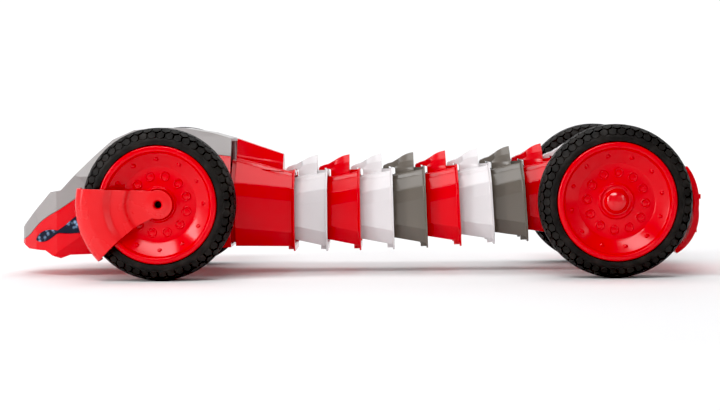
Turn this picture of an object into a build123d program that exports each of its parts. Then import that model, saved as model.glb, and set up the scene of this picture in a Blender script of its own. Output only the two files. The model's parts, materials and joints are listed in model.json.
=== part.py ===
"""A radio-controlled stunt car whose body is a string of nested, hinged rings.

The nose points along -X, +X is the tail, +Z is up, and the wheels stand on Z = 0 with the
origin under the middle of the car.  Sizes are millimetres and angles are degrees.

A driven pair of wheels carries the head, a free-rolling pair carries the tail, and nine
flared rings hang between them.  Each ring hooks over the one in front by a round knuckle
at its top, so the string can hump upwards but cannot sag below its rest line.
"""

import os
from math import cos, pi, radians, sin

from build123d import *

os.makedirs("parts", exist_ok=True)

# ---------------------------------------------------------------- driving dimensions
front_axle_x = -117.7
rear_axle_x = 155.9
wheel_radius = 46.0
wheel_face = 75.0  # outer face of the rims, each side of the middle
tyre_width = 29.0
lip_radius = 35.4  # the rim's visible outer lip
barrel_radius = 33.0  # where the tyre sits
axle_radius = 2.0
turning_gap = 0.06  # radial, for parts that turn on a shaft

pitch = 20.3  # from one ring's knuckle to the next
first_pivot = (-42.4, 64.8)  # x, z of the first ring's knuckle
rest_bend = 0.65  # how far each ring sits tail-up on the one in front
ring_colours = ["white", "red", "white", "grey", "red", "white", "grey", "red", "white"]

shell_wall = 1.8  # head, neck and tail
ring_wall = 1.2
parting = 0.2  # gap along the line where two fixed shells meet

# ring profile, measured from the ring's own knuckle: the rear is larger than the front
ring_front = 2.5
ring_rear = 24.3
flange_thickness = 1.0
flange_root = 1.2  # concave rounding between the flange and the body
roof_inset = 12.0  # the flat roof's edge, in from the side
edge_rounding, side_rounding = 1.6, 7.0
knuckle_radius = 1.9
knuckle_half = 5.0
cradle_half = 7.0
cradle_top = -0.6
lip_front = ring_rear - flange_thickness
flange_half = [(17.0, 0.3), (29.5, -11.2), (29.5, -39.8), (22.0, -50.8)]

# head and neck
nose_x, head_rear_x, neck_front_x = -210.5, -77.6, -75.2
boss_places = [(-186.0, 14.0), (-186.0, -14.0), (-81.2, 20.0), (-81.2, -20.0)]
boss_radius, boss_split = 2.8, 30.0
door_box = (-165.0, -133.5, 26.0)  # battery door: front, rear and half width
switch_x, switch_travel = -100.0, 4.0

# front gear train, one on each side of the head
tooth_module = 0.6
wheel_teeth, small_teeth, large_teeth, pinion_teeth = 40, 12, 36, 12
idler_direction, motor_direction = 25.0, -60.0
outer_gears = (27.4, 30.4)  # distances from the middle: wheel gear and small idler gear
inner_gears = (24.0, 27.0)  # large idler gear and pinion
cover_plane = (31.0, 32.2)
motor_radius, motor_length = 10.0, 20.0


# ---------------------------------------------------------------- helpers
def save(piece, name):
    """Labels a finished piece and writes it as its own STEP file."""
    piece.label = name
    export_step(piece, f"parts/{name}.step")


def across(x):
    """The plane that cuts the car across at x; its own axes are Y and Z."""
    return Plane(origin=(x, 0, 0), x_dir=(0, 1, 0), z_dir=(1, 0, 0))


def upright(y):
    """The plane that cuts the car lengthwise at y, seen from the left, normal along -Y."""
    return Plane(origin=(0, y, 0), x_dir=(1, 0, 0), z_dir=(0, -1, 0))


def outline(plane, points, corner=0.0):
    """A face with straight sides, and with rounded corners if asked."""
    with BuildSketch(plane) as drawn:
        with BuildLine():
            Polyline(*points, close=True)
        make_face()
        if corner:
            fillet(drawn.vertices(), corner)
    return drawn.sketch.face()


def symmetric(half):
    """A closed outline from the points of its +Y half, listed from top to bottom."""
    return list(half) + [(-y, z) for y, z in reversed(half)]


def curved(plane, points, closing):
    """A face under a smooth line through the points, closed by straight sides."""
    with BuildSketch(plane) as drawn:
        with BuildLine():
            Spline(*points)
            Polyline(points[-1], *closing, points[0])
        make_face()
    return drawn.sketch.face()


def point_at(origin, distance, direction):
    """The x, z point at a distance and direction from another."""
    turn = radians(direction)
    return origin[0] + distance * cos(turn), origin[1] + distance * sin(turn)


def turned(plane_points):
    """A solid of revolution round Y from points given as (radius, y)."""
    with BuildPart() as lathe:
        with BuildSketch():
            with BuildLine():
                Polyline(*plane_points, close=True)
            make_face()
        revolve(axis=Axis.Y)
    return lathe.part


def rod(centre, radius, near, far):
    """A round bar along Y at an x, z centre."""
    with BuildPart() as bar:
        with BuildSketch(upright(near)):
            with Locations(centre):
                Circle(radius)
        extrude(amount=near - far)
    return bar.part


def on_left(piece, centre):
    """A wheel-side piece, built with its face at y = 0, put on the left at x, z."""
    return piece.moved(Location((centre[0], -wheel_face, centre[1])))


def on_right(piece, centre):
    """The same piece put on the right, turned half round so that it faces out."""
    return piece.moved(Location((centre[0], wheel_face, centre[1]), (0, 0, 180)))


# ---------------------------------------------------------------- places along the string
pivots = [first_pivot]
for ring in range(len(ring_colours)):
    pivots.append(point_at(pivots[-1], pitch, rest_bend * ring))
places = [Location((x, 0, z), (0, -rest_bend * i, 0)) for i, (x, z) in enumerate(pivots)]
front_axle = (front_axle_x, wheel_radius)
rear_axle = (rear_axle_x, wheel_radius)


# ---------------------------------------------------------------- rings
def ring_half(x):
    """Half cross-section of a ring's tapered body at x behind its knuckle."""
    along = x - ring_front
    side = 23.2 + 0.2 * along
    top = -5.2 + 0.17 * along
    bottom = -43.6 - 0.2 * along
    return [
        (side - roof_inset, top),
        (side - roof_inset + 1.4, top - 3.0),
        (side - 1.5, top - 9.6),
        (side, top - 17.5),
        (side, bottom + 9.0),
        (side - 6.5, bottom),
    ]


def section(x, half, inset=0.0):
    """A closed cross-section at x, drawn in all round by an inset, its corners rounded."""
    with BuildSketch(across(x)) as drawn:
        with BuildLine():
            Polyline(*symmetric(half), close=True)
        make_face()
        if inset:
            offset(amount=-inset, kind=Kind.INTERSECTION)
        widest = drawn.vertices().sort_by(Axis.X)[-1].X - 0.01
        waist = drawn.vertices().filter_by(lambda corner: abs(corner.X) > widest)
        rest = drawn.vertices().filter_by(lambda corner: abs(corner.X) <= widest)
        fillet(rest, edge_rounding)
        fillet(waist, side_rounding)
    return drawn.sketch.face()


def ring_section(x, inset=0.0):
    return section(x, ring_half(x), inset)


def flared(body):
    """The body with the wide lip that ends a ring or the neck, and two small feet under it."""
    with BuildPart() as piece:
        add(body)
        extrude(outline(across(lip_front), symmetric(flange_half), 4.0), amount=flange_thickness)
        in_lip = piece.edges().filter_by(lambda edge: edge.bounding_box().min.X > lip_front - 0.01)
        fillet(in_lip.filter_by(lambda edge: edge.is_interior), flange_root)
        with Locations((lip_front - 1.7, 14.5, -48.3), (lip_front - 1.7, -14.5, -48.3)):
            Box(3.6, 4.5, 3.2)
    return piece.part


def ring_mouth():
    """The space in which the next ring's front nests, widening towards the lip."""
    with BuildPart() as mouth:
        loft([ring_section(ring_rear - 1.6, ring_wall), ring_section(ring_rear + 0.5, 0.2)])
    return mouth.part


def add_cradle():
    """The seat in which the next knuckle turns, open behind for its arm."""
    with Locations((20.4, 0, (cradle_top - 3.8) / 2)):
        Box(7.8, 2 * cradle_half, cradle_top + 3.8)
    with BuildSketch(upright(0)) as seat:
        with Locations((pitch, 0)):
            Circle(knuckle_radius + 0.12)
        with Locations((pitch, 2.4)):
            Rectangle(2 * knuckle_radius + 0.24, 4.8)
        with Locations((pitch + 3.0, 1.9)):
            Rectangle(6.0, 5.4)
    extrude(seat.sketch, amount=knuckle_half + 0.4, both=True, mode=Mode.SUBTRACT)


def add_hook():
    """The round knuckle and the arm that reaches from it over the lip in front."""
    arm = [
        (-1.3, 1.3),
        (1.2, 2.5),
        (4.2, 3.2),
        (7.5, 5.0),
        (9.5, -6.2),
        (6.3, -6.2),
        (5.6, -0.4),
        (1.4, 0.9),
    ]
    extrude(outline(upright(0), arm), amount=knuckle_half, both=True)
    with BuildSketch(upright(0)) as knuckle:
        Circle(knuckle_radius)
    extrude(knuckle.sketch, amount=knuckle_half, both=True)


def add_fin():
    """The dorsal fin: a ridge over cheeks that widen towards its upright rear face."""
    ridge = ((5.2, 3.2, 5.2), (8.5, 5.6, 6.2), (12.5, 7.7, 7.6), (17.6, 8.9, 9.2))
    loft([
        outline(
            across(x),
            symmetric([
                (0.9, top),
                (0.78 * cheek, 0.46 * top),
                (cheek, -0.6),
                (cheek + 1.0, ring_half(x)[0][1] + 0.6),
                (ring_half(x)[0][0] - 0.6, ring_half(x)[0][1] - 0.1),
                (ring_half(x)[0][0] - 0.6, ring_half(x)[0][1] - 1.0),
            ]),
        )
        for x, top, cheek in ridge
    ])


with BuildPart() as ring_body:
    loft([ring_section(ring_front), ring_section(lip_front)])

with BuildPart() as ring_part:
    add(flared(ring_body.part))
    add_fin()
    loft(
        [ring_section(ring_front - 1, ring_wall), ring_section(ring_rear + 1, ring_wall)],
        mode=Mode.SUBTRACT,
    )
    add(ring_mouth(), mode=Mode.SUBTRACT)
    with Locations((ring_front, 0, -4)):
        Box(6.4, 2 * cradle_half + 2, 9, mode=Mode.SUBTRACT)
    add_cradle()
    add_hook()

for number, colour in enumerate(ring_colours, start=1):
    save(ring_part.part.moved(places[number - 1]), f"ring_{number}_{colour}")


# ---------------------------------------------------------------- head and neck forms
def head_form(inset):
    """The head as one closed block, or with an inset the hollow inside it."""
    side = [
        (-211, 20 + inset),
        (nose_x + inset, 30 - inset),
        (-206 + inset, 35),
        (-190 + inset, 52.5 - inset),
        (-183.5, 53.2 - inset),
        (-162.7, 74.5 - inset),
        (-152, 84.5 - inset),
        (-139, 90.4 - inset),
        (-124, 91.8 - inset),
        (-107, 91.4 - inset),
        (-90, 88.4 - inset),
        (head_rear_x, 84.8 - inset),
        (head_rear_x, 17.5 + inset),
        (-120, 15.2 + inset),
        (-178, 13.4 + inset),
        (-184, 11.2 + inset),
        (-189.5, 13 + inset),
        (-194, 16 + inset),
        (-206, 16.7 + inset),
    ]
    if inset:
        side[0] = (-207, 20 + inset)
    plan = [
        (-212, 9 - inset),
        (-209, 15 - inset),
        (-200, 24.5 - inset),
        (-186, 31 - inset),
        (-168, 34.8 - inset),
        (-150, 36 - inset),
        (-96, 36 - inset),
        (head_rear_x + 1, 33.6 - inset),
    ]
    front = [
        (15.5 - inset / 2, 93 - inset),
        (20 - inset, 86),
        (34 - inset, 62),
        (36.2 - inset, 52),
        (36.2 - inset, 31),
        (30 - inset, 12 + inset / 2),
        (28 - inset, 9 + inset / 2),
    ]
    with BuildPart() as block:
        extrude(outline(upright(0), side), amount=40, both=True)
        plan_points = [(x, y) for x, y in plan] + [(x, -y) for x, y in reversed(plan)]
        extrude(outline(Plane.XY, plan_points), amount=100, mode=Mode.INTERSECT)
        extrude(outline(across(-215), symmetric(front)), amount=150, mode=Mode.INTERSECT)
    return block.part


parting_line = [
    (-216, 20.5),
    (-205.7, 25.3),
    (-196.7, 34),
    (-184.9, 41.3),
    (-172.6, 49.2),
    (-150, 61),
    (-120, 70.5),
    (-95, 74.6),
    (-74, 73.1),
]


def side_of_parting(offset, top):
    """Everything on one side of the hood's parting line, kept a little clear of it."""
    line = [(x, z + offset) for x, z in parting_line]
    face = curved(upright(0), line, [(-74, top), (-216, top)])
    with BuildPart() as region:
        extrude(face, amount=45, both=True)
    return region.part


def bosses(centres, low, high, radius):
    """Round posts standing at x, y centres between two heights."""
    with BuildPart() as posts:
        with BuildSketch(Plane.XY.offset(low)):
            with Locations(*centres):
                Circle(radius)
        extrude(amount=high - low)
    return posts.part


def screws(centres, low, head_radius=2.2, length=14.0):
    """Pan-head screws driven upwards, their heads resting at a height."""
    with BuildPart() as group:
        with BuildSketch(Plane.XY.offset(low - 1.5)):
            with Locations(*centres):
                Circle(head_radius)
        extrude(amount=1.5)
        with BuildSketch(Plane.XY.offset(low)):
            with Locations(*centres):
                Circle(1.2)
        extrude(amount=length)
    return group.part


head_block = head_form(0)
head_hollow = head_form(shell_wall)

with BuildPart() as hood_posts:
    add(bosses(boss_places, boss_split + parting, 95, boss_radius))
    add(head_block, mode=Mode.INTERSECT)

with BuildPart() as head_hood:
    add(head_block)
    add(head_hollow, mode=Mode.SUBTRACT)
    add(side_of_parting(parting / 2, 110), mode=Mode.INTERSECT)
    add(hood_posts.part)
    add(bosses(boss_places, 10, boss_split + 8, 1.25), mode=Mode.SUBTRACT)
save(head_hood.part, "head_hood")


def lens_outline(grow):
    """The two-lobed headlight: a leaf at the nose joined to a wedge behind it."""
    upper = [(-200.3 - grow, 22.4), (-196.6, 27.2 + grow), (-191.5, 28.9 + grow), (-186, 28.5 + grow)]
    wedge = [(-180.7, 31.7 + grow), (-171.5, 38.8 + grow), (-165 + grow, 40.5 + grow)]
    lower = [(-165 + grow, 28.8 - grow), (-176, 27 - grow), (-184.5, 27.2 - grow)]
    leaf = [(-189, 24.6 - grow), (-192.4, 22.4 - grow), (-196.5, 21.4 - grow)]
    with BuildSketch(upright(0)) as drawn:
        with BuildLine():
            Spline(*upper)
            Spline(upper[-1], *wedge)
            Line(wedge[-1], lower[0])
            Spline(*lower)
            Spline(lower[-1], *leaf, upper[0])
        make_face()
    return drawn.sketch.face()


def headlight(side):
    """A lens that fills its opening and has a thin rim behind the shell wall."""
    with BuildPart() as rim:
        add(head_form(shell_wall + 0.05))
        extrude(lens_outline(1.0), amount=60 * -side, mode=Mode.INTERSECT)
    with BuildPart() as lens:
        add(head_form(-0.3))
        extrude(lens_outline(0), amount=60 * -side, mode=Mode.INTERSECT)
        add(rim.part)
        add(head_form(shell_wall + 0.9), mode=Mode.SUBTRACT)
    return lens.part


save(headlight(-1), "headlight_left")
save(headlight(1), "headlight_right")

door_front, door_rear, door_half = door_box
with BuildPart() as lower_posts:
    add(bosses(boss_places, 8, boss_split, boss_radius))
    add(head_block, mode=Mode.INTERSECT)

with BuildPart() as head_lower_shell:
    add(head_block)
    add(head_hollow, mode=Mode.SUBTRACT)
    add(side_of_parting(-parting / 2, -10), mode=Mode.INTERSECT)
    extrude(lens_outline(0.1), amount=60, both=True, mode=Mode.SUBTRACT)
    add(lower_posts.part)
    add(bosses(boss_places, 8, boss_split + 1, 1.3), mode=Mode.SUBTRACT)
    add(bosses(boss_places, 8, 19.5, 2.4), mode=Mode.SUBTRACT)
    with Locations(((door_front + door_rear) / 2, 0, 15)):
        Box(door_rear - door_front, 2 * door_half, 12, mode=Mode.SUBTRACT)
    with Locations((switch_x, 0, 16)):
        Box(3.6 + switch_travel, 3.8, 8, mode=Mode.SUBTRACT)
    with BuildSketch(upright(0)) as sleeve_holes:
        with Locations(front_axle):
            Circle(4.6)
    extrude(sleeve_holes.sketch, amount=60, both=True, mode=Mode.SUBTRACT)
save(head_lower_shell.part, "head_lower_shell")
save(screws(boss_places, 19.5), "head_screws")

with BuildPart() as battery_door:
    add(head_block)
    add(head_form(1.6), mode=Mode.SUBTRACT)
    with Locations(((door_front + door_rear) / 2, 0, 15)):
        Box(door_rear - door_front - 0.5, 2 * door_half - 0.5, 12, mode=Mode.INTERSECT)
save(battery_door.part, "battery_door")


# ---------------------------------------------------------------- neck, in ring coordinates
neck_place = Location((first_pivot[0] - pitch, 0, first_pivot[1]))
neck_start = neck_front_x - (first_pivot[0] - pitch)


def neck_half(x):
    """Half cross-section of the neck, which narrows from the head to the first ring."""
    share = (x - neck_start) / (lip_front - neck_start)
    front = [(14.0, 8.2), (15.6, 5.4), (30.6, -7.2), (31.8, -15.0), (31.8, -35.3), (26.0, -47.0)]
    return [
        ((1 - share) * front_y + share * rear_y, (1 - share) * front_z + share * rear_z)
        for (front_y, front_z), (rear_y, rear_z) in zip(front, ring_half(lip_front))
    ]


def neck_block(inset, start, end):
    with BuildPart() as block:
        loft([section(x, neck_half(x), inset) for x in (start, end)])
    return block.part


spear = [(2.6, 0.6), (17.5, -1.2), (15.5, -3.6)]

with BuildPart() as neck_groove:
    add(neck_block(0, neck_start, lip_front))
    add(neck_block(0.6, neck_start, lip_front), mode=Mode.SUBTRACT)
    extrude(outline(upright(0), spear), amount=40, both=True, mode=Mode.INTERSECT)

with BuildPart() as neck_shell:
    add(flared(neck_block(0, neck_start, lip_front)))
    ridge = (
        (neck_start, [(6.0, 19.8), (11.5, 9.6), (14.0, 8.8), (14.0, -0.8)]),
        (16.5, [(4.6, 9.7), (8.0, 4.8), (10.0, 3.8), (10.0, -3.8)]),
    )
    loft([outline(across(x), symmetric(half)) for x, half in ridge])
    add(neck_block(2.4, neck_start - 2.7, lip_front))
    add(neck_block(shell_wall + 1.8, neck_start - 5, neck_start + 6), mode=Mode.SUBTRACT)
    loft(
        [
            section(neck_start + 2, neck_half(neck_start + 2), shell_wall),
            ring_section(ring_rear + 1, ring_wall),
        ],
        mode=Mode.SUBTRACT,
    )
    add(ring_mouth(), mode=Mode.SUBTRACT)
    add(neck_groove.part, mode=Mode.SUBTRACT)
    add_cradle()
save(neck_shell.part.moved(neck_place), "neck_shell")


# ---------------------------------------------------------------- wheels
# A wheel is drawn with its outer face at y = 0 and the car's middle towards +Y.
dish_depth = 7.5
disc_back = dish_depth + 2.0
cup_inner, cup_outer, cup_floor = 6.4, 8.4, 12.5
stud_count = 12


def rim(sleeve_end, first_stud):
    """A dished wheel disc with its tyre seat, hub cup and the sleeve it turns on."""
    bore = axle_radius + turning_gap
    profile = [
        (cup_inner, dish_depth - 0.4),
        (10.4, dish_depth - 0.4),
        (10.4, dish_depth),
        (23.3, dish_depth),
        (24.0, dish_depth - 0.7),
        (31.4, 2.6),
        (32.0, 0.4),
        (32.6, 0.0),
        (34.8, 0.0),
        (lip_radius, 0.6),
        (lip_radius, 2.6),
        (barrel_radius, 3.4),
        (barrel_radius, tyre_width - 3.0),
        (lip_radius - 1, tyre_width - 2.0),
        (lip_radius - 1, tyre_width),
        (31.4, tyre_width),
        (31.2, 6.0),
        (24.0, disc_back),
        (cup_outer, disc_back),
        (cup_outer, cup_floor + 1.6),
        (4.0, cup_floor + 1.6),
        (4.0, sleeve_end),
        (bore, sleeve_end),
        (bore, cup_floor),
        (cup_inner, cup_floor),
    ]
    step = 360 / stud_count
    slope_y = dish_depth - 0.7 + (27.3 - 24.0) / (31.4 - 24.0) * (3.3 - dish_depth)
    with BuildPart() as disc:
        add(turned(profile))
        with BuildSketch(upright(slope_y + 1.2)) as studs:
            with PolarLocations(27.3, stud_count, start_angle=first_stud):
                Circle(1.15)
        extrude(studs.sketch, amount=2.0, taper=12)
        with BuildSketch(upright(dish_depth)) as rings:
            with PolarLocations(17.3, stud_count, start_angle=first_stud + step / 2):
                Circle(2.9)
            with PolarLocations(17.3, stud_count, start_angle=first_stud + step / 2):
                Circle(2.1, mode=Mode.SUBTRACT)
        extrude(rings.sketch, amount=0.5)
        with BuildSketch(upright(dish_depth)) as centres:
            with PolarLocations(17.3, stud_count, start_angle=first_stud + step / 2):
                Circle(1.0)
        extrude(centres.sketch, amount=0.3)
    return disc.part


tyre_profile = [
    (barrel_radius, 3.5),
    (lip_radius + 0.05, 2.7),
    (lip_radius + 0.05, 1.3),
    (38.0, 0.6),
    (42.0, 1.6),
    (44.6, 4.0),
    (45.7, 7.5),
    (wheel_radius, 11.0),
    (wheel_radius, tyre_width - 11.0),
    (45.7, tyre_width - 7.5),
    (44.6, tyre_width - 4.0),
    (42.0, tyre_width - 1.6),
    (38.0, tyre_width - 0.6),
    (lip_radius - 0.95, tyre_width - 1.2),
    (lip_radius - 0.95, tyre_width - 2.05),
    (barrel_radius, tyre_width - 3.05),
    (barrel_radius, tyre_width - 5.0),
    (41.5, tyre_width - 5.0),
    (43.0, tyre_width - 9.0),
    (43.0, 9.0),
    (41.5, 5.8),
    (barrel_radius, 5.8),
]
tyre = turned(tyre_profile)
front_rim = rim(sleeve_end=wheel_face - outer_gears[0] - 0.2, first_stud=1.5)
rear_rim = rim(sleeve_end=wheel_face - 31.4, first_stud=10.7)

for end, axle, wheel_rim in (("front", front_axle, front_rim), ("rear", rear_axle, rear_rim)):
    save(on_left(wheel_rim, axle), f"{end}_rim_left")
    save(on_right(wheel_rim, axle), f"{end}_rim_right")
    save(on_left(tyre, axle), f"{end}_tyre_left")
    save(on_right(tyre, axle), f"{end}_tyre_right")

hub_cap = turned([
    (0, 3.6),
    (3.2, 3.9),
    (5.6, 4.9),
    (7.2, 6.4),
    (8.1, dish_depth - 0.4),
    (cup_inner, dish_depth - 0.4),
    (cup_inner, 10.0),
    (5.2, 10.0),
    (5.2, 7.2),
    (0, 6.2),
])
save(on_left(hub_cap, rear_axle), "hub_cap_left")
save(on_right(hub_cap, rear_axle), "hub_cap_right")

# ---------------------------------------------------------------- axles and fender arms
front_axle_end = wheel_face - 12.1
rear_axle_end = wheel_face - 11.0
save(rod(rear_axle, axle_radius, -rear_axle_end, rear_axle_end), "rear_axle")

arm_screw = turned([(0, 8.0), (2.0, 8.0), (2.0, 9.6), (1.0, 9.6), (1.0, 18.0), (0, 18.0)])
with BuildPart() as arm_screws:
    add(on_left(arm_screw, front_axle))
    add(on_right(arm_screw, front_axle))
save(arm_screws.part, "arm_screws")

with BuildPart() as front_axle_rod:
    add(rod(front_axle, axle_radius, -front_axle_end, front_axle_end))
    tapped = turned([(0, 12), (1.02, 12), (1.02, 18.5), (0, 18.5)])
    add(on_left(tapped, front_axle), mode=Mode.SUBTRACT)
    add(on_right(tapped, front_axle), mode=Mode.SUBTRACT)
save(front_axle_rod.part, "front_axle")

clip = turned([(axle_radius, 11.4), (4.2, 11.4), (4.2, 12.2), (axle_radius, 12.2)])
with BuildPart() as axle_clips:
    add(on_left(clip, rear_axle))
    add(on_right(clip, rear_axle))
save(axle_clips.part, "axle_clips")

# the arm's section, as (radius, y), from the boss in the dish out over the tyre
arm_face = [
    (0, 4.2),
    (16.6, 4.2),
    (20.2, 1.2),
    (28.0, 0.6),
    (33.6, -2.8),
    (40.5, -3.2),
    (45.2, -2.2),
    (48.4, 0.6),
    (49.6, 4.6),
    (49.6, 15.5),
]
arm_back = [
    (47.9, 15.5),
    (47.9, 5.2),
    (46.8, 1.8),
    (44.4, -0.9),
    (40.0, -1.7),
    (33.2, -1.4),
    (28.6, 2.0),
    (21.0, 2.9),
    (17.4, 6.0),
    (0, 6.0),
]
arm_sweep = [
    (3, 8.7),
    (-52, 10.4),
    (-52, -14),
    (-39.5, -36.5),
    (-33.0, -31.1),
    (-25.3, -23.4),
    (-17.0, -16.0),
    (-9.9, -11.4),
    (-3.4, -8.9),
    (3, -8.3),
]
with BuildPart() as fender_arm:
    add(turned(arm_face + arm_back))
    with BuildSketch(upright(0)) as reach:
        with BuildLine():
            Polyline(*arm_sweep, close=True)
        make_face()
        Circle(8.8)
    extrude(reach.sketch, amount=-20, both=True, mode=Mode.INTERSECT)
    add(turned([(0, 4.2), (5.9, 4.2), (5.9, 12.0), (0, 12.0)]))
    add(turned([(0, 3.0), (3.4, 3.0), (2.2, 4.9), (2.2, 9.6), (0, 9.6)]), mode=Mode.SUBTRACT)
    add(turned([(0, 9), (1.1, 9), (1.1, 13), (0, 13)]), mode=Mode.SUBTRACT)
save(on_left(fender_arm.part, front_axle), "fender_arm_left")
with BuildPart() as mirrored_arm:
    add(fender_arm.part)
    mirror(about=Plane.XZ, mode=Mode.REPLACE)
save(mirrored_arm.part.moved(Location((front_axle[0], wheel_face, front_axle[1]))), "fender_arm_right")


# ---------------------------------------------------------------- front gear train
idler_axle = point_at(front_axle, tooth_module * (wheel_teeth + small_teeth) / 2, idler_direction)
motor_axle = point_at(idler_axle, tooth_module * (large_teeth + pinion_teeth) / 2, motor_direction)
backlash = 0.22


def gear(teeth, centre, tooth_at, span, bore):
    """A spur gear on an axis along Y, one of its teeth pointing in a given direction."""
    pitch_radius = tooth_module * teeth / 2
    root, tip = pitch_radius - 1.25 * tooth_module, pitch_radius + 0.85 * tooth_module
    half = (pi * tooth_module / 2 - backlash) / 2
    lean = 0.36  # the flank's slope, tan of the pressure angle
    at_root, at_tip = half + lean * (pitch_radius - root), half - lean * (tip - pitch_radius)
    tooth = [(root - 0.3, -at_root), (tip, -at_tip), (tip, at_tip), (root - 0.3, at_root)]
    near, far = span
    with BuildPart() as wheel:
        with BuildSketch(upright(near)) as face:
            with Locations(centre):
                Circle(root)
                with PolarLocations(0, teeth, start_angle=tooth_at):
                    Polygon(*tooth, align=None)
                Circle(bore, mode=Mode.SUBTRACT)
        extrude(face.sketch, amount=near - far)
    return wheel.part


def collar(centre, outer, bore, near, far):
    """A plain round hub or spacer along Y."""
    with BuildPart() as ring_piece:
        with BuildSketch(upright(near)) as face:
            with Locations(centre):
                Circle(outer)
                Circle(bore, mode=Mode.SUBTRACT)
        extrude(face.sketch, amount=near - far)
    return ring_piece.part


def mirrored(piece):
    """The same piece on the other side of the car's middle."""
    with BuildPart() as other:
        add(piece)
        mirror(about=Plane.XZ, mode=Mode.REPLACE)
    return other.part


def save_pair(piece, name):
    """Saves a piece drawn on the right, and its mirror on the left."""
    save(piece, f"{name}_right")
    save(mirrored(piece), f"{name}_left")


sleeve_radius, pin_radius, shaft_radius = 4.0, 1.5, 1.0
with BuildPart() as wheel_gear:
    add(gear(wheel_teeth, front_axle, idler_direction, outer_gears, sleeve_radius + 0.01))
save_pair(wheel_gear.part, "wheel_gear")

with BuildPart() as idler_gear:
    pin_bore = pin_radius + turning_gap
    small_at = idler_direction + 180 + 180 / small_teeth
    add(gear(small_teeth, idler_axle, small_at, outer_gears, pin_bore))
    add(gear(large_teeth, idler_axle, motor_direction, inner_gears, pin_bore))
    add(collar(idler_axle, 2.8, pin_bore, inner_gears[1] - 0.1, outer_gears[0] + 0.1))
save_pair(idler_gear.part, "idler_gear")

pinion_at = motor_direction + 180 + 180 / pinion_teeth
with BuildPart() as motor_pinion:
    add(gear(pinion_teeth, motor_axle, pinion_at, inner_gears, shaft_radius - 0.2))
    add(rod(motor_axle, shaft_radius, 17.0, inner_gears[1] + 0.2))
save_pair(motor_pinion.part, "motor_pinion")

frame_half = 22.5
with BuildPart() as motor:
    add(rod(motor_axle, motor_radius, frame_half - motor_length, frame_half))
    add(rod(motor_axle, 3.0, frame_half - motor_length - 1.2, frame_half + 0.7))
    add(rod(motor_axle, shaft_radius + 0.08, 16.6, frame_half + 1), mode=Mode.SUBTRACT)
save_pair(motor.part, "motor")

post_places = [(-127.5, 33.5), (-88.6, 48.0)]
with BuildPart() as gearbox_cover:
    with BuildSketch(upright(cover_plane[0])) as plate:
        with Locations(front_axle):
            Circle(11.2)
        with Locations(idler_axle, *post_places):
            Circle(4.0)
        make_hull()
        with Locations(front_axle):
            Circle(sleeve_radius + 0.4, mode=Mode.SUBTRACT)
        with Locations(idler_axle):
            Circle(pin_radius + 0.02, mode=Mode.SUBTRACT)
    extrude(plate.sketch, amount=cover_plane[0] - cover_plane[1])
    for post in post_places:
        add(rod(post, 2.0, frame_half, cover_plane[0] + 0.5))
save_pair(gearbox_cover.part, "gearbox_cover")

with BuildPart() as idler_pins:
    add(rod(idler_axle, pin_radius, frame_half - 2.5, cover_plane[1]))
    mirror(about=Plane.XZ)
save(idler_pins.part, "idler_pins")

frame_front, frame_rear, frame_low, frame_high = -131.5, -84.8, 27.0, 57.0
with BuildPart() as gearbox_frame:
    middle_x = (frame_front + frame_rear) / 2
    length = frame_rear - frame_front
    with Locations((middle_x, 0, (frame_low + frame_high) / 2)):
        Box(length, 2 * frame_half, frame_high - frame_low)
    with Locations((middle_x, 0, frame_high)):
        Box(length - 4, 2 * frame_half - 6, 2 * (frame_high - frame_low) - 4, mode=Mode.SUBTRACT)
    with Locations((frame_front + 3.5, 0, 22.5), (frame_rear - 3.5, 0, 23.5)):
        Box(3, 30, 10)
    with Locations((frame_rear - 3.5, 0, 14.0)):
        Box(4, 32, 10, mode=Mode.SUBTRACT)
    add(rod(front_axle, axle_radius + 0.02, -40, 40), mode=Mode.SUBTRACT)
    add(rod(motor_axle, motor_radius + 0.05, -40, 40), mode=Mode.SUBTRACT)
    add(rod(idler_axle, pin_radius + 0.02, -40, 40), mode=Mode.SUBTRACT)
save(gearbox_frame.part, "gearbox_frame")

# ---------------------------------------------------------------- battery, board and switch
cell_radius, cell_half = 7.1, 24.6
cell_places = [(-156.6, 24.8), (-141.9, 24.8), (-156.6, 39.3), (-141.9, 39.3)]
with BuildPart() as battery_cells:
    for centre in cell_places:
        add(rod(centre, cell_radius, -cell_half, cell_half))
        add(rod(centre, 2.7, -cell_half - 0.7, 0))
save(battery_cells.part, "battery_cells")

with BuildPart() as battery_contacts:
    with Locations((-149.2, 25.2, 32.0), (-149.2, -25.6, 32.0)):
        Box(26, 0.5, 22)
save(battery_contacts.part, "battery_contacts")

board_low, board_half = 61.0, 22.0
stand_places = [(-161.5, 19.0), (-161.5, -19.0), (-136.5, 19.0), (-136.5, -19.0)]
with BuildPart() as battery_tray:
    with Locations((-149.2, 0, 32.5)):
        Box(33.0, 54.6, 30.2)
    with Locations((-149.2, 0, 31.0)):
        Box(30.4, 52.2, 31.0, mode=Mode.SUBTRACT)
    add(bosses(stand_places, 47.0, board_low, 1.8))
save(battery_tray.part, "battery_tray")

with BuildPart() as circuit_board:
    with Locations((-149, 0, board_low + 0.8)):
        Box(32, 2 * board_half, 1.6)
    with Locations((-154, -8, board_low + 2.2)):
        Box(9, 9, 1.4)
    with Locations((-142, 9, board_low + 2.1)):
        Box(7, 5, 1.2)
    with Locations((-150, 14, board_low + 4.0)):
        Cylinder(2.6, 6.0)
    with Locations((-140, -13, board_low + 2.6)):
        Box(4, 9, 2.4)
save(circuit_board.part, "circuit_board")

slot_length = 3.6 + switch_travel
with BuildPart() as switch_housing:
    with Locations((switch_x, 0, 21.9)):
        Box(14, 8, 6)
    with Locations((switch_x, 0, 20.0)):
        Box(slot_length, 3.8, 6.4, mode=Mode.SUBTRACT)
save(switch_housing.part, "switch_housing")

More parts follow.
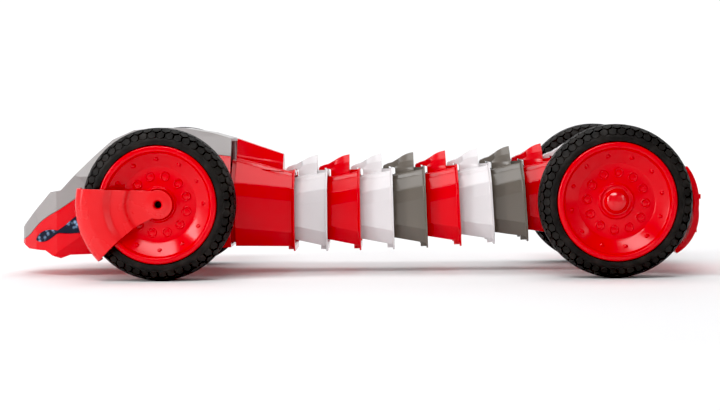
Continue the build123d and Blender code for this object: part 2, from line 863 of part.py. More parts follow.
with BuildPart() as switch_knob:
    with Locations((switch_x - switch_travel / 2, 0, 18.8)):
        Box(3.4, 3.4, 7.2)
save(switch_knob.part, "switch_knob")

# ---------------------------------------------------------------- tail, in ring coordinates
tail_place = places[-1]
tail_turn = radians(rest_bend * len(ring_colours))
reach_x, reach_z = rear_axle_x - pivots[-1][0], wheel_radius - pivots[-1][1]
tail_axle = (
    reach_x * cos(tail_turn) + reach_z * sin(tail_turn),
    -reach_x * sin(tail_turn) + reach_z * cos(tail_turn),
)
tail_end, tail_split = 50.0, -20.0
tail_bosses = [(40.0, 14.0), (40.0, -14.0)]


def tail_form(inset):
    """The tail as one closed block, nested at the front like a ring."""
    end = [(12, -9), (13.4, -12), (24.6, -18), (26, -24), (26, -46), (20, -56)]
    start = ring_front - (2 if inset else 0)
    with BuildPart() as block:
        loft([ring_section(start, inset), ring_section(lip_front, inset)])
        loft([ring_section(lip_front, inset), section(tail_end - inset, end, inset)])
    return block.part


tail_block, tail_hollow = tail_form(0), tail_form(ring_wall + 0.3)
with BuildPart() as tail_posts:
    add(bosses(tail_bosses, -60, 0, boss_radius))
    add(tail_block, mode=Mode.INTERSECT)
with BuildPart() as axle_tubes:
    add(rod(tail_axle, 3.2, -31.0, 31.0))
    add(tail_hollow, mode=Mode.SUBTRACT)

with BuildPart() as tail_lower_shell:
    add(tail_block)
    add(tail_hollow, mode=Mode.SUBTRACT)
    add(tail_posts.part)
    add(axle_tubes.part)
    with Locations((0, 0, tail_split + 50 - parting / 2)):
        Box(200, 100, 100, mode=Mode.SUBTRACT)
    add(rod(tail_axle, axle_radius + 0.02, -40, 40), mode=Mode.SUBTRACT)
    add(bosses(tail_bosses, -70, 0, 1.3), mode=Mode.SUBTRACT)
    add(bosses(tail_bosses, -70, -46, 2.4), mode=Mode.SUBTRACT)
save(tail_lower_shell.part.moved(tail_place), "tail_lower_shell")

with BuildPart() as tail_top_cover:
    add(tail_block)
    add(tail_hollow, mode=Mode.SUBTRACT)
    add(tail_posts.part)
    with Locations((0, 0, tail_split - 50 + parting / 2)):
        Box(200, 100, 100, mode=Mode.SUBTRACT)
    with Locations((ring_front, 0, -4)):
        Box(6.4, 2 * cradle_half + 2, 9, mode=Mode.SUBTRACT)
    add(bosses(tail_bosses, -70, tail_split + 9, 1.25), mode=Mode.SUBTRACT)
    add_hook()
save(tail_top_cover.part.moved(tail_place), "tail_top_cover")
save(screws(tail_bosses, -46, length=34).moved(tail_place), "tail_screws")

bumper_upper = [(202.3, 65.9), (208.2, 53), (209.0, 40)]  # outer face, top to middle
bumper_lower = [(209.0, 40), (206.6, 25), (195.9, 12.6)]  # and middle to bottom
bumper_inner = [(194.2, 15.2), (203.2, 26.4), (205.6, 40), (204.9, 52), (199.3, 64.7)]
bumper_half = 44.0
with BuildPart() as rear_bumper:
    with BuildSketch(upright(0)) as shell:
        with BuildLine():
            ThreePointArc(*bumper_upper)
            ThreePointArc(*bumper_lower)
            Line(bumper_lower[-1], bumper_inner[0])
            ThreePointArc(*bumper_inner[:3])
            ThreePointArc(*bumper_inner[2:])
            Line(bumper_inner[-1], bumper_upper[0])
        make_face()
    extrude(shell.sketch, amount=bumper_half, both=True)
    with BuildSketch(across(180)) as plate_shape:
        with Locations((0, 39)):
            RectangleRounded(2 * bumper_half, 60, 9)
    extrude(plate_shape.sketch, amount=40, mode=Mode.INTERSECT)
    with Locations((200.9, 14, 41), (200.9, -14, 41)):
        Box(12.2, 6, 8)
    with Locations((208.6, 36, 47.2), (208.6, -36, 47.2)):
        Box(4.6, 7, 3.0)
    with Locations((206.2, 36, 26.8), (206.2, -36, 26.8)):
        Box(4.6, 7, 3.0)
save(rear_bumper.part, "rear_bumper")
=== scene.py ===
"""The radio-controlled stunt car's looks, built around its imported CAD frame.

Metres, nose along -X, left side along -Y.  The tyres, wheel discs, hub caps and fender arms
are built here in mesh code; the shells, rings and works keep their CAD shape and get their
finish.
"""

import json
import math

import bmesh
import bpy
from mathutils import Matrix, Vector


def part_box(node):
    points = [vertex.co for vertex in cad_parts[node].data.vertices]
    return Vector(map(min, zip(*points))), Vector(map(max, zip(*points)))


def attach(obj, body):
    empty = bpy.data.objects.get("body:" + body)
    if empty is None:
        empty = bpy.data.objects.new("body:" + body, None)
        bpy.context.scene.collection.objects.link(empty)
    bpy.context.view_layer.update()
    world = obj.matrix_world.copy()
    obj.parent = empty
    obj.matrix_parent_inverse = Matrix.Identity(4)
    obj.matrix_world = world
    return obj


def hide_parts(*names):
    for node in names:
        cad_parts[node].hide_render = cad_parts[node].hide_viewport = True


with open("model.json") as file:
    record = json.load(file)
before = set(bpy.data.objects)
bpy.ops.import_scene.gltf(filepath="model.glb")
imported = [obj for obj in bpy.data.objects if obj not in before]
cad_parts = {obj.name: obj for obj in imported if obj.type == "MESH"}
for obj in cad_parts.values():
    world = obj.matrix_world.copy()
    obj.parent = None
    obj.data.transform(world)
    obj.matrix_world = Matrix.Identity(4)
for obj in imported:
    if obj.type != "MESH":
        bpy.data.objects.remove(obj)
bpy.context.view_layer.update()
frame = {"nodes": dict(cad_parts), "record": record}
nodes = frame["nodes"]
MM = 0.001
SIDES = ("left", "right")


# ------------------------------------------------------------------ small helpers
def full_turn(steps):
    """So many angles, evenly spaced round a circle."""
    return [2 * math.pi * i / steps for i in range(steps)]


def spaced(start, end, steps):
    """The numbers from start to end in even steps, both ends included."""
    return [start + (end - start) * i / steps for i in range(steps + 1)]


def bridge(bm, first, second, closed=True):
    """Joins two rows of vertices with quads; a closed row joins its last to its first."""
    count = len(first)
    for i in range(count if closed else count - 1):
        j = (i + 1) % count
        bm.faces.new((first[i], first[j], second[j], second[i]))


def bridge_rows(bm, rows, closed=True):
    """Joins each row of vertices to the next one."""
    for first, second in zip(rows, rows[1:]):
        bridge(bm, first, second, closed)


def link_object(name, data):
    """A new object in the scene."""
    thing = bpy.data.objects.new(name, data)
    bpy.context.scene.collection.objects.link(thing)
    return thing


# ------------------------------------------------------------------ camera
SENSOR_MM = 36.0
VIEW_WIDTH, VIEW_HEIGHT = 720, 411
PIXELS_PER_MM = 1.687
CAMERA_DISTANCE_MM, CAMERA_X_MM, CAMERA_Z_MM = 1050.0, 24.0, 95.6
VANISHING_X, VANISHING_Y = 395.0, 120.0
CAMERA_ROLL = math.radians(-0.478)
CLIP_NEAR, CLIP_FAR = 0.05, 30


def place_camera():
    """A long lens from the left, a little above the axles, as the car is pictured.

    The scale holds at the left wheels' faces, and lines across the car meet at the
    vanishing point, in pixels from the picture's top left."""
    focal_px = PIXELS_PER_MM * CAMERA_DISTANCE_MM
    data = bpy.data.cameras.new("camera")
    data.sensor_width = SENSOR_MM
    data.lens = focal_px / VIEW_WIDTH * SENSOR_MM
    data.clip_start, data.clip_end = CLIP_NEAR, CLIP_FAR
    camera = link_object("camera", data)
    yaw = math.atan((VANISHING_X - VIEW_WIDTH / 2) / focal_px)
    pitch = math.atan((VIEW_HEIGHT / 2 - VANISHING_Y) / focal_px)
    turn = (
        Matrix.Rotation(yaw, 4, "Z")
        @ Matrix.Rotation(math.pi / 2 - pitch, 4, "X")
        @ Matrix.Rotation(CAMERA_ROLL, 4, "Z")
    )
    wheel_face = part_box("front_rim_left")[0].y
    stand = (CAMERA_X_MM * MM, wheel_face - CAMERA_DISTANCE_MM * MM, CAMERA_Z_MM * MM)
    camera.matrix_world = Matrix.Translation(stand) @ turn
    bpy.context.scene.camera = camera


place_camera()


# ------------------------------------------------------------------ studio
# Each softbox: name, place, the point it faces, width and height, watts.
SOFTBOXES = (
    ("key_softbox", (-0.25, -0.8, 1.1), (0, 0, 0.04), (1.0, 0.3), 8),
    ("top_softbox", (0.1, 0.25, 1.5), (0, 0, 0.05), (1.3, 0.7), 6),
    ("front_strip", (-1.25, -0.75, 0.45), (-0.05, 0, 0.05), (0.3, 0.8), 8),
    ("rear_strip", (1.4, -0.9, 0.55), (0, 0, 0.05), (0.2, 0.9), 1.6),
    ("back_softbox", (0, 1.5, 0.9), (0, 0, 0.05), (1.6, 0.6), 3),
    ("backdrop_wash", (0, 1.0, 2.3), (0, 3.7, 0.7), (4.0, 0.8), 75),
)
SKY_COLOUR, SKY_STRENGTH = (0.96, 0.97, 1.0, 1), 0.3
BLACK_LEVEL = 0.016
# The floor's section from near its middle to its rim: radius, height.
FLOOR_SECTION = ((0.6, 0), (1.8, 0), (2.6, 0.03), (3.3, 0.25), (3.8, 0.8), (4.0, 1.6), (4.05, 2.4))
FLOOR_STEPS = 96


def add_softbox(name, place, aim, size, power):
    """A rectangular area light at a place, turned to face a point."""
    data = bpy.data.lights.new(name, "AREA")
    data.shape = "RECTANGLE"
    data.size, data.size_y = size
    data.energy = power
    lamp = link_object(name, data)
    lamp.location = place
    lamp.rotation_euler = (Vector(aim) - Vector(place)).to_track_quat("-Z", "Y").to_euler()


def build_floor():
    """A round pale floor whose rim sweeps up, so that no horizon shows from any side."""
    mesh = bpy.data.meshes.new("studio_floor")
    bm = bmesh.new()
    rings = []
    for radius, height in FLOOR_SECTION:
        ring = []
        for turn in full_turn(FLOOR_STEPS):
            ring.append(bm.verts.new((radius * math.cos(turn), radius * math.sin(turn), height)))
        rings.append(ring)
    middle = bm.verts.new((0, 0, 0))
    for i, vertex in enumerate(rings[0]):
        bm.faces.new((middle, vertex, rings[0][(i + 1) % FLOOR_STEPS]))
    for inner, outer in zip(rings, rings[1:]):
        bridge(bm, outer, inner)
    for face in bm.faces:
        face.smooth = True
    bm.to_mesh(mesh)
    bm.free()
    return link_object("studio_floor", mesh)


def build_studio():
    """Floor, softboxes and a faint even sky; the black level gives the photo's deep darks."""
    floor = build_floor()
    for softbox in SOFTBOXES:
        add_softbox(*softbox)
    world = bpy.data.worlds.new("studio_world")
    world.use_nodes = True
    sky = world.node_tree.nodes["Background"]
    sky.inputs["Color"].default_value = SKY_COLOUR
    sky.inputs["Strength"].default_value = SKY_STRENGTH
    bpy.context.scene.world = world
    view = bpy.context.scene.view_settings
    view.view_transform = "Standard"
    view.use_curve_mapping = True
    view.curve_mapping.black_level = (BLACK_LEVEL, BLACK_LEVEL, BLACK_LEVEL)
    view.curve_mapping.update()
    return floor


studio_floor = build_studio()


# ------------------------------------------------------------------ materials
class Finish:
    """A node-based material whose colour, roughness and relief vary over the surface.

    Relief also turns the piece's edges by a small radius, so that they catch the light."""

    edge_mm = 0.4
    edge_samples = 4

    def __init__(self, name, roughness=0.4, metallic=0.0, **sockets):
        self.material = bpy.data.materials.new(name)
        self.material.use_nodes = True
        self.tree = self.material.node_tree
        self.shader = self.tree.nodes["Principled BSDF"]
        self.shader.inputs["Roughness"].default_value = roughness
        self.shader.inputs["Metallic"].default_value = metallic
        for socket, value in sockets.items():
            self.shader.inputs[socket.replace("_", " ")].default_value = value
        self.coords = self.tree.nodes.new("ShaderNodeTexCoord").outputs["Object"]

    def link(self, a, b):
        self.tree.links.new(a, b)

    def noise(self, per_metre, detail=3.0, stretch=None):
        """A noise pattern in the piece's own space, so many cells to the metre."""
        texture = self.tree.nodes.new("ShaderNodeTexNoise")
        texture.inputs["Scale"].default_value = per_metre
        texture.inputs["Detail"].default_value = detail
        if stretch:
            mapping = self.tree.nodes.new("ShaderNodeMapping")
            mapping.inputs["Scale"].default_value = stretch
            self.link(self.coords, mapping.inputs["Vector"])
            self.link(mapping.outputs["Vector"], texture.inputs["Vector"])
        else:
            self.link(self.coords, texture.inputs["Vector"])
        return texture.outputs["Fac"]

    def spread(self, value, low, high, out_low=0, out_high=1):
        """The value's range low..high stretched to out_low..out_high."""
        node = self.tree.nodes.new("ShaderNodeMapRange")
        sockets = ("From Min", "From Max", "To Min", "To Max")
        for socket, number in zip(sockets, (low, high, out_low, out_high)):
            node.inputs[socket].default_value = number
        self.link(value, node.inputs["Value"])
        return node.outputs["Result"]

    def colour(self, value, dark, light):
        """The base colour runs from dark to light with the value."""
        mix = self.tree.nodes.new("ShaderNodeMix")
        mix.data_type = "RGBA"
        mix.inputs["A"].default_value = (*dark, 1)
        mix.inputs["B"].default_value = (*light, 1)
        self.link(value, mix.inputs["Factor"])
        self.link(mix.outputs["Result"], self.shader.inputs["Base Color"])

    def rough(self, value, low, high):
        """The roughness runs from low to high over the middle of a noise's range."""
        self.link(self.spread(value, 0.3, 0.7, low, high), self.shader.inputs["Roughness"])

    def relief(self, value, depth_mm, strength):
        """The value raises the surface, over edges turned by edge_mm."""
        edges = self.tree.nodes.new("ShaderNodeBevel")
        edges.samples = self.edge_samples
        edges.inputs["Radius"].default_value = self.edge_mm * MM
        bump = self.tree.nodes.new("ShaderNodeBump")
        self.link(edges.outputs["Normal"], bump.inputs["Normal"])
        bump.inputs["Distance"].default_value = depth_mm * MM
        bump.inputs["Strength"].default_value = strength
        self.link(value, bump.inputs["Height"])
        self.link(bump.outputs["Normal"], self.shader.inputs["Normal"])


def shade(colour, factor):
    """The colour made darker or lighter."""
    return tuple(channel * factor for channel in colour)


def moulded_plastic(name, colour, rough=(0.16, 0.26), flow=0.05, **sockets):
    """Injection-moulded plastic: a faint flow mottle, handling haze and a soft orange peel."""
    finish = Finish(name, **sockets)
    haze = finish.noise(55, 4)
    mottle = finish.spread(finish.noise(16, 2), 0.3, 0.7)
    finish.colour(mottle, shade(colour, 1 - flow), shade(colour, 1 + flow * 0.6))
    finish.rough(haze, *rough)
    finish.relief(finish.noise(420, 2), 0.03, 0.25)
    return finish.material


def tyre_rubber():
    """Black rubber, matt and fine-grained, with a little dust in patches."""
    finish = Finish("tyre_rubber", Specular_IOR_Level=0.25)
    dust = finish.spread(finish.noise(120, 6), 0.45, 0.75)
    finish.colour(dust, (0.013, 0.0118, 0.011), (0.028, 0.024, 0.0215))
    finish.rough(finish.noise(260, 5), 0.48, 0.72)
    finish.relief(finish.noise(2600, 3), 0.06, 0.6)
    return finish.material


def bare_metal(name, colour, rough=(0.22, 0.38)):
    """Metal with a fine grain drawn out along the car's width."""
    finish = Finish(name, metallic=1.0)
    grain = finish.noise(300, 4, stretch=(6, 1, 6))
    finish.colour(finish.spread(grain, 0.3, 0.7), shade(colour, 0.86), colour)
    finish.rough(grain, *rough)
    finish.relief(grain, 0.02, 0.4)
    return finish.material


def lens_plastic():
    """Dark blue smoked lens, with painted glints: light-blue highlights painted into its colour in
    patches.
    """
    finish = Finish("lens_plastic", roughness=0.08, Specular_IOR_Level=0.3)
    cells = finish.tree.nodes.new("ShaderNodeTexVoronoi")
    cells.inputs["Scale"].default_value = 380
    finish.link(finish.coords, cells.inputs["Vector"])
    # Painted glints: light-blue highlight cells painted into the colour, only where the patch
    # noise allows.
    painted_glint = finish.spread(cells.outputs["Distance"], 0.05, 0.55, 1, 0)
    painted_glint_patch = finish.spread(finish.noise(95, 2), 0.46, 0.56)
    painted_glints = finish.tree.nodes.new("ShaderNodeMath")
    painted_glints.operation = "MULTIPLY"
    finish.link(painted_glint, painted_glints.inputs[0])
    finish.link(painted_glint_patch, painted_glints.inputs[1])
    finish.colour(painted_glints.outputs["Value"], (0.003, 0.005, 0.02), (0.32, 0.52, 0.8))
    return finish.material


RED, ARM_RED = (0.74, 0.0012, 0.008), (0.80, 0.016, 0.02)
HOOD_GREY, RING_GREY = (0.33, 0.305, 0.30), (0.155, 0.134, 0.112)
WHITE, NYLON = (0.76, 0.725, 0.735), (0.80, 0.78, 0.72)
BLACK, CELL_BLUE, BOARD_GREEN = (0.022, 0.022, 0.024), (0.03, 0.035, 0.05), (0.015, 0.12, 0.045)
# The second steel is near-black: painted shade for the axle's ends and the screws in their holes.
STEEL, STEEL_WITH_PAINTED_SHADE = (0.62, 0.62, 0.63), (0.035, 0.035, 0.037)
CAN_STEEL, BRASS = (0.70, 0.70, 0.70), (0.72, 0.52, 0.22)

# Keyed by the record's material slots, with red_satin, red_gloss_cap and the near-black steel
# beside them; that steel's dark colour is painted shade, the shade of the holes its parts sit in.
materials = {
    "red_plastic": moulded_plastic(
        "red_gloss",
        RED,
        rough=(0.12, 0.2),
        Specular_IOR_Level=0.26,
        Coat_Weight=0.12,
        Coat_Roughness=0.05,
    ),
    "red_satin": moulded_plastic(
        "red_satin", ARM_RED, rough=(0.22, 0.3), flow=0.02, Specular_IOR_Level=0.45
    ),
    "red_gloss_cap": moulded_plastic(
        "red_gloss_cap",
        RED,
        rough=(0.05, 0.1),
        Specular_IOR_Level=0.4,
        Coat_Weight=0.5,
        Coat_Roughness=0.03,
    ),
    "grey_hood_plastic": moulded_plastic("hood_grey", HOOD_GREY, rough=(0.27, 0.31), flow=0.015),
    "grey_plastic": moulded_plastic("ring_grey", RING_GREY, rough=(0.12, 0.2)),
    "white_plastic": moulded_plastic("ring_white", WHITE, rough=(0.12, 0.2), flow=0.03),
    "tyre_rubber": tyre_rubber(),
    "lens": lens_plastic(),
    "steel": bare_metal("bright_steel", STEEL),
    # Steel darkened to near black: painted shade for the parts in holes, not the steel's own
    # colour.
    "steel_with_painted_shade": bare_metal("steel_with_painted_shade", STEEL_WITH_PAINTED_SHADE, rough=(0.4, 0.55)),
    "motor_can": bare_metal("motor_can", CAN_STEEL, rough=(0.14, 0.24)),
    "gear_plastic": moulded_plastic("gear_nylon", NYLON, rough=(0.35, 0.5)),
    "brass": bare_metal("pinion_brass", BRASS),
    "black_plastic": moulded_plastic("works_black", BLACK, rough=(0.4, 0.55)),
    "cell_wrap": moulded_plastic("cell_wrap", CELL_BLUE, rough=(0.2, 0.3)),
    "board": moulded_plastic("board_green", BOARD_GREEN, rough=(0.3, 0.45)),
}
floor_finish = Finish("studio_paper", roughness=0.9)
floor_finish.colour(floor_finish.noise(3, 2), (0.90, 0.90, 0.905), (0.93, 0.93, 0.93))
studio_floor.data.materials.append(floor_finish.material)


# ------------------------------------------------------------------ mesh helpers
# Wheel pieces are drawn in mm round the axle: their outer face at y = 0, the car's middle at +Y.
def round_axle(radius, depth, angle):
    """The point so far from the axle, so deep behind the wheel's face, in that direction."""
    return Vector((radius * math.cos(angle), depth, radius * math.sin(angle)))


def rounded_path(points, radius, per_corner=5):
    """The open path through the points with each inner corner turned by a short curve."""
    longest_share = 0.45
    path = [Vector(points[0])]
    for before, corner, after in zip(points, points[1:], points[2:]):
        corner = Vector(corner)
        to_before, to_after = Vector(before) - corner, Vector(after) - corner
        reach = min(radius, longest_share * to_before.length, longest_share * to_after.length)
        start = corner + to_before.normalized() * reach
        end = corner + to_after.normalized() * reach
        for t in spaced(0, 1, per_corner):
            path.append(start.lerp(corner, t).lerp(corner.lerp(end, t), t))
    path.append(Vector(points[-1]))
    return path


def spun(bm, path, steps):
    """Turns a closed outline of (radius, depth) once round the axle."""
    rings = []
    for radius, depth in path:
        rings.append([bm.verts.new(round_axle(radius, depth, turn)) for turn in full_turn(steps)])
    bridge_rows(bm, rings + rings[:1])


def finish_mesh(bm, name, material, smooth_angle):
    """Turns a bmesh in mm into an object in metres, smooth except over sharp bends."""
    bmesh.ops.recalc_face_normals(bm, faces=bm.faces)
    bmesh.ops.scale(bm, vec=(MM, MM, MM), verts=bm.verts)
    limit = math.radians(smooth_angle)
    for face in bm.faces:
        face.smooth = True
    for edge in bm.edges:
        edge.smooth = not (len(edge.link_faces) == 2 and edge.calc_face_angle(0) > limit)
    mesh = bpy.data.meshes.new(name)
    bm.to_mesh(mesh)
    bm.free()
    mesh.materials.append(material)
    return link_object(name, mesh)


def wheel_frame(end, side):
    """Puts a piece drawn round the axle on one of the four wheels."""
    low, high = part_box(f"{end}_rim_{side}")
    centre = (low + high) / 2
    face = low.y if side == "left" else high.y
    turn = 0 if side == "left" else math.pi
    return Matrix.Translation((centre.x, face, centre.z)) @ Matrix.Rotation(turn, 4, "Z")


def mount(piece, end, side, body, node):
    """Puts the piece on its wheel, on its body and in place of its CAD node."""
    piece.matrix_world = wheel_frame(end, side)
    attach(piece, body)
    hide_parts(node)


# ------------------------------------------------------------------ tyres
tyre_low, tyre_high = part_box("front_tyre_left")
rim_low, rim_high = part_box("front_rim_left")
SIDEWALL_DEPTH = 0.6
WHEEL_RADIUS = (tyre_high.x - tyre_low.x) / 2 / MM
TYRE_WIDTH = (tyre_high.y - tyre_low.y) / MM + SIDEWALL_DEPTH
LIP_RADIUS = (rim_high.x - rim_low.x) / 2 / MM
BARREL_RADIUS = LIP_RADIUS - 2.4
TYRE_STEPS = 144
GROOVE_DEPTH, GROOVE_WIDTH = 0.9, 0.6
BLOCKS_ROUND, BLOCK_ROWS = 50, 7
# A block's corners reach this share of the rows' pitch at its points and at its flanks.
POINT_SHARE, FLANK_SHARE = 0.64, 0.36
# A block from its foot to its top: size against the full outline, depth under the crown.
BLOCK_LEVELS = ((1.0, GROOVE_DEPTH + 0.3), (1.0, 0.34), (0.93, 0.1), (0.84, 0.0))


def crown():
    """The tread's outer surface across the tyre, from one sidewall to the other."""
    half = [(39.6, 0.75), (42.2, 1.5), (44.5, 3.7), (45.6, 7.0), (WHEEL_RADIUS, 11.0)]
    other = [(radius, TYRE_WIDTH - depth) for radius, depth in reversed(half)]
    return rounded_path(half + other, 2.0, 6)


def outward(tangent):
    """The direction out of the tyre at a point where the crown runs along the tangent."""
    return Vector((tangent.y, -tangent.x))


def along(path, distance):
    """The point and the outward normal at a distance along a path."""
    for a, b in zip(path, path[1:]):
        step = (b - a).length
        if distance <= step or b is path[-1]:
            tangent = (b - a).normalized()
            return a + tangent * distance, outward(tangent)
        distance -= step


def add_tread(bm, path):
    """Rows of bevelled six-sided blocks, each row half a block round from the last."""
    length = sum((b - a).length for a, b in zip(path, path[1:]))
    last_spot = length - 1e-4
    pitch = length / BLOCK_ROWS
    half_width = (2 * math.pi * WHEEL_RADIUS / BLOCKS_ROUND - GROOVE_WIDTH) / 2
    point = pitch * POINT_SHARE - GROOVE_WIDTH / 2
    flank = pitch * FLANK_SHARE - GROOVE_WIDTH / 2
    corners = ((0, point), (half_width, flank), (half_width, -flank))
    outline = corners + tuple((-around, -across) for around, across in corners)
    for row in range(BLOCK_ROWS):
        middle = (row + 0.5) * pitch
        for block in range(BLOCKS_ROUND):
            turn = 2 * math.pi * (block + 0.5 * (row % 2)) / BLOCKS_ROUND
            rings = []
            for scale, sink in BLOCK_LEVELS:
                ring = []
                for around, across in outline:
                    spot = min(max(middle + across * scale, 0.0), last_spot)
                    where, normal = along(path, spot)
                    where = where - normal * sink
                    angle = turn + around * scale / WHEEL_RADIUS
                    ring.append(bm.verts.new(round_axle(where.x, where.y, angle)))
                rings.append(ring)
            bridge_rows(bm, rings)
            bm.faces.new(rings[-1])


def carcass_outline(tread):
    """The tyre without its blocks: up the outer sidewall, over the crown and back inside."""
    outer_wall = [(BARREL_RADIUS, 3.6), (LIP_RADIUS + 0.05, 2.7), (LIP_RADIUS + 0.1, 1.2)]
    outer_wall += [(37.6, 0.6), (39.2, 0.8)]
    groove_floor = []
    for before, point, after in zip(tread[1:], tread[2:-2], tread[3:]):
        sunk = point - outward((after - before).normalized()) * GROOVE_DEPTH
        groove_floor.append((sunk.x, sunk.y))
    bead = LIP_RADIUS - 0.95
    inner_wall = [(39.2, TYRE_WIDTH - 0.8), (37.6, TYRE_WIDTH - 0.6)]
    inner_wall += [(bead, TYRE_WIDTH - 1.3), (bead, TYRE_WIDTH - 2.05)]
    inner_wall += [(BARREL_RADIUS, TYRE_WIDTH - 3.05), (BARREL_RADIUS, TYRE_WIDTH - 5)]
    lining = [(41.2, TYRE_WIDTH - 5.2), (42.6, TYRE_WIDTH - 9), (42.6, 9), (41.2, 5.8)]
    return outer_wall + groove_floor + inner_wall + lining + [(BARREL_RADIUS, 5.8)]


def build_tyre(end, side):
    """A hollow rubber tyre: smooth sidewalls, and block tread over the crown and shoulders."""
    tread = crown()
    bm = bmesh.new()
    spun(bm, carcass_outline(tread), TYRE_STEPS)
    add_tread(bm, tread)
    piece = finish_mesh(bm, f"{end}_block_tyre_{side}", materials["tyre_rubber"], 30)
    mount(piece, end, side, f"{end}_wheel_{side}", f"{end}_tyre_{side}")


# ------------------------------------------------------------------ wheel discs and hub caps
AXLE_BORE, NECK_RADIUS, SLEEVE_RADIUS, SLEEVE_STEP = 2.06, 4.0, 8.4, 14.1
CUP_RADIUS, CUP_DEPTH = 6.4, 12.5
DISH = 7.5
SLOPE_IN, SLOPE_OUT = (23.6, DISH - 0.5), (31.2, 2.6)
STUDS = 12
STUD_CIRCLE, STUD_RADIUS, STUD_HEIGHT = 27.3, 1.35, 0.95
BOSS_CIRCLE, BOSS_RADIUS, BOSS_THICKNESS, BOSS_HEIGHT = 17.3, 2.45, 0.38, 0.55
BUTTON_RADIUS, BUTTON_HEIGHT = 1.5, 0.22
FIRST_STUD = {"front": 1.5, "rear": 10.7}
DOME_FOOT, DOME_STEPS = 0.35, 18
RING_STEPS, RING_ROUND = 28, 10


def add_dome(bm, centre, tilt, radius, height, rows):
    """A low dome standing on a surface, its foot sunk a little under it."""
    sit = Matrix.Translation(centre) @ tilt
    rings = []
    for climb in spaced(0, math.pi / 2, rows)[:-1]:
        reach = radius * math.cos(climb)
        depth = DOME_FOOT - (DOME_FOOT + height) * math.sin(climb)
        ring = [round_axle(reach, depth, turn) for turn in full_turn(DOME_STEPS)]
        rings.append([bm.verts.new(sit @ spot) for spot in ring])
    bridge_rows(bm, rings)
    bm.faces.new(rings[-1])
    bm.faces.new(list(reversed(rings[0])))


def add_ring_boss(bm, centre):
    """A thin raised circle on the flat of the dish."""
    rings = []
    for turn in full_turn(RING_STEPS):
        ring = []
        for roll in full_turn(RING_ROUND):
            reach = BOSS_RADIUS + BOSS_THICKNESS * math.cos(roll)
            spot = round_axle(reach, -BOSS_HEIGHT * math.sin(roll), turn)
            ring.append(bm.verts.new(centre + spot))
        rings.append(ring)
    bridge_rows(bm, rings + rings[:1])


def rim_outline(back_end):
    """The disc's section from the axle bore out over the face, and home behind the dish."""
    cup = [(AXLE_BORE, CUP_DEPTH), (CUP_RADIUS, CUP_DEPTH), (CUP_RADIUS, DISH - 0.55)]
    collar = [(8.9, DISH - 0.55), (9.3, DISH - 0.95), (10.3, DISH - 0.95), (10.7, DISH)]
    dish = [(22.9, DISH), SLOPE_IN, SLOPE_OUT, (31.9, 0.35)]
    lip = [(32.7, 0.0), (34.6, 0.0), (LIP_RADIUS, 0.7), (LIP_RADIUS, 2.6)]
    barrel = [(BARREL_RADIUS, 3.4), (BARREL_RADIUS, TYRE_WIDTH - 3.0)]
    back_lip = [(LIP_RADIUS - 1, TYRE_WIDTH - 2.0), (LIP_RADIUS - 1, TYRE_WIDTH)]
    behind = [(31.4, TYRE_WIDTH), (31.0, 6.0), (24.0, DISH + 2), (SLEEVE_RADIUS, DISH + 2)]
    sleeve = [(SLEEVE_RADIUS, SLEEVE_STEP), (NECK_RADIUS, SLEEVE_STEP)]
    sleeve += [(NECK_RADIUS, back_end), (AXLE_BORE, back_end)]
    return cup + collar + dish + lip + barrel + back_lip + behind + sleeve


def build_rim(end, side):
    """A dished disc with a rolled lip, a circle of studs and a circle of ring bosses."""
    low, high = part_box(f"{end}_rim_{side}")
    bm = bmesh.new()
    spun(bm, rounded_path(rim_outline((high.y - low.y) / MM), 0.55, 3), TYRE_STEPS)
    slope = Vector(SLOPE_OUT) - Vector(SLOPE_IN)
    stud_depth = SLOPE_IN[1] + (STUD_CIRCLE - SLOPE_IN[0]) / slope.x * slope.y
    lean = Matrix.Rotation(-math.atan2(-slope.y, slope.x), 4, "Z")
    for i in range(STUDS):
        turn = math.radians(FIRST_STUD[end] + 360 * i / STUDS)
        at_stud = Matrix.Rotation(-turn, 4, "Y")
        foot = at_stud @ Vector((STUD_CIRCLE, stud_depth, 0))
        add_dome(bm, foot, at_stud @ lean, STUD_RADIUS, STUD_HEIGHT, 5)
        between = Matrix.Rotation(-turn - math.pi / STUDS, 4, "Y")
        middle = between @ Vector((BOSS_CIRCLE, DISH, 0))
        add_ring_boss(bm, middle)
        add_dome(bm, middle, Matrix.Identity(4), BUTTON_RADIUS, BUTTON_HEIGHT, 4)
    piece = finish_mesh(bm, f"{end}_dished_rim_{side}", materials["red_plastic"], 50)
    mount(piece, end, side, f"{end}_wheel_{side}", f"{end}_rim_{side}")


def build_hub_cap(side):
    """A glossy dome with a stepped foot, pressed into the rear wheel's cup."""
    dome = [(0.02, 2.9), (3.4, 3.3), (5.9, 4.7), (7.2, 6.5), (7.6, 6.9), (8.2, 6.95), (8.2, 7.1)]
    foot = [(6.35, 7.2), (6.35, 10.0), (5.2, 10.0), (5.2, 7.2), (0.02, 6.2)]
    bm = bmesh.new()
    spun(bm, rounded_path(dome, 1.1, 6) + rounded_path(foot, 0.2, 2), 96)
    piece = finish_mesh(bm, f"domed_hub_cap_{side}", materials["red_gloss_cap"], 45)
    mount(piece, "rear", side, f"rear_wheel_{side}", f"hub_cap_{side}")


# ------------------------------------------------------------------ fender arms
# Each profile runs outward from the round hub end, as (radius, depth) from the wheel's face.
ARM_BOSS = 8.8
ARM_FACE = (
    (ARM_BOSS, 4.2), (18.2, 4.2), (20.4, 1.2), (28.4, 0.5), (32.0, -2.6),
    (40.5, -3.2), (45.2, -2.2), (48.4, 0.6), (49.6, 4.6), (49.6, 15.4),
)
ARM_BACK = (
    (ARM_BOSS, 6.0), (17.4, 6.0), (21.0, 2.9), (28.6, 2.0), (33.2, -1.2),
    (40.0, -1.7), (44.4, -0.9), (46.8, 1.8), (47.9, 5.2), (47.9, 15.4),
)
FACE_HOLE = ((2.25, 9.6), (2.25, 4.6), (3.1, 3.7), (5.3, 3.7), (6.3, 4.2))
BACK_HOLE = ((2.25, 9.6), (5.9, 9.6), (5.9, 6.0))
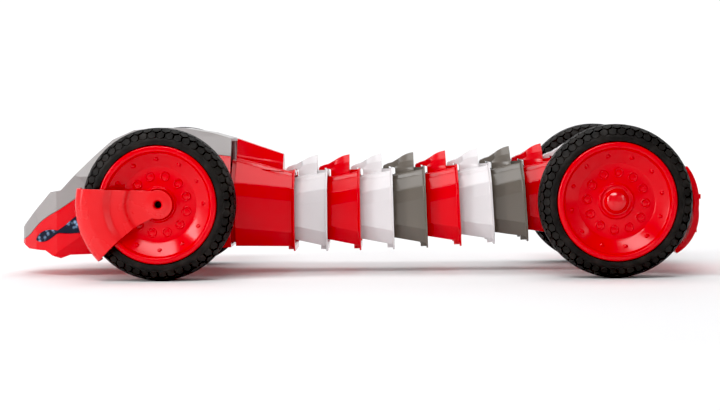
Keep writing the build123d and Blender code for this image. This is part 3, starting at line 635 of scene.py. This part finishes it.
# The guard's two edges seen from the side, as x, z points from the axle.
ARM_TOP = ((-3.0, 8.3), (-52.0, 10.4))
ARM_UNDER = (
    (-3.4, -8.1), (-9.9, -11.2), (-17.0, -16.0), (-25.3, -23.4), (-33.0, -31.1), (-40.2, -37.6),
)
ARM_COLUMNS, HUB_COLUMNS = 28, 40
BISECTIONS = 30
MERGE_DISTANCE = 1e-4
ARM_EDGE_MM, ARM_EDGE_SEGMENTS, ARM_EDGE_ANGLE = 0.45, 3, math.radians(50)


def angle_at(line, radius):
    """The direction, from the axle, at which a line of x, z points reaches a radius."""
    for a, b in zip(line, line[1:]):
        a, b = Vector(a), Vector(b)
        if b.length >= radius:
            low, high = 0.0, 1.0
            for _ in range(BISECTIONS):
                middle = (low + high) / 2
                if a.lerp(b, middle).length < radius:
                    low = middle
                else:
                    high = middle
            spot = a.lerp(b, low)
            return math.atan2(spot.y, spot.x) % (2 * math.pi)
    return math.atan2(line[-1][1], line[-1][0]) % (2 * math.pi)


def add_arm_skin(bm, profile, hole, under):
    """One face of the guard: rings from the hole to the hub end, then rows to the far edge.

    Returns the vertices of its outer border and those round the hole."""

    def row(radius, depth, angles):
        return [bm.verts.new(round_axle(radius, depth, angle)) for angle in angles]

    start, end = angle_at(ARM_TOP, ARM_BOSS), angle_at(under, ARM_BOSS)
    behind_hub = spaced(end, start + 2 * math.pi, HUB_COLUMNS)[1:-1]
    around = spaced(start, end, ARM_COLUMNS) + behind_hub
    rings = [row(radius, depth, around) for radius, depth in (*hole, profile[0])]
    bridge_rows(bm, rings)
    rows = [rings[-1][: ARM_COLUMNS + 1]]
    for radius, depth in profile[1:]:
        angles = spaced(angle_at(ARM_TOP, radius), angle_at(under, radius), ARM_COLUMNS)
        rows.append(row(radius, depth, angles))
    bridge_rows(bm, rows, closed=False)
    border = [line[0] for line in reversed(rows)] + rings[-1][:ARM_COLUMNS:-1]
    border += [line[-1] for line in rows] + list(reversed(rows[-1][1:-1]))
    return border, rings[0]


def build_fender_arm(side):
    """The curved guard that reaches from the wheel's middle forward over the tread."""
    under = rounded_path(ARM_UNDER, 3.0, 4)
    bm = bmesh.new()
    face_border, face_hole = add_arm_skin(bm, rounded_path(ARM_FACE, 1.1, 4), FACE_HOLE, under)
    back_border, back_hole = add_arm_skin(bm, rounded_path(ARM_BACK, 1.4, 4), BACK_HOLE, under)
    bridge(bm, face_border, back_border)
    bmesh.ops.remove_doubles(bm, verts=face_hole + back_hole, dist=MERGE_DISTANCE)
    if side == "right":
        bmesh.ops.scale(bm, vec=(-1, 1, 1), verts=bm.verts)
    piece = finish_mesh(bm, f"fender_guard_{side}", materials["red_satin"], 35)
    edges = piece.modifiers.new("soft_edges", "BEVEL")
    edges.width, edges.segments = ARM_EDGE_MM * MM, ARM_EDGE_SEGMENTS
    edges.limit_method, edges.angle_limit = "ANGLE", ARM_EDGE_ANGLE
    mount(piece, "front", side, "head", f"fender_arm_{side}")


for side in SIDES:
    for end in ("front", "rear"):
        build_tyre(end, side)
        build_rim(end, side)
    build_hub_cap(side)
    build_fender_arm(side)

# ------------------------------------------------------------------ CAD pieces' finishes
# The axle's ends and the arms' screws get the near-black steel: painted shade, the shade of the
# holes they sit in.
NODES_IN_PAINTED_SHADE = ("front_axle", "arm_screws")
slots = {part["node"]: part["material_slot"] for part in frame["record"]["subparts"]}
for name, piece in nodes.items():
    finish = materials["steel_with_painted_shade" if name in NODES_IN_PAINTED_SHADE else slots[name]]
    piece.data.materials.clear()
    piece.data.materials.append(finish)
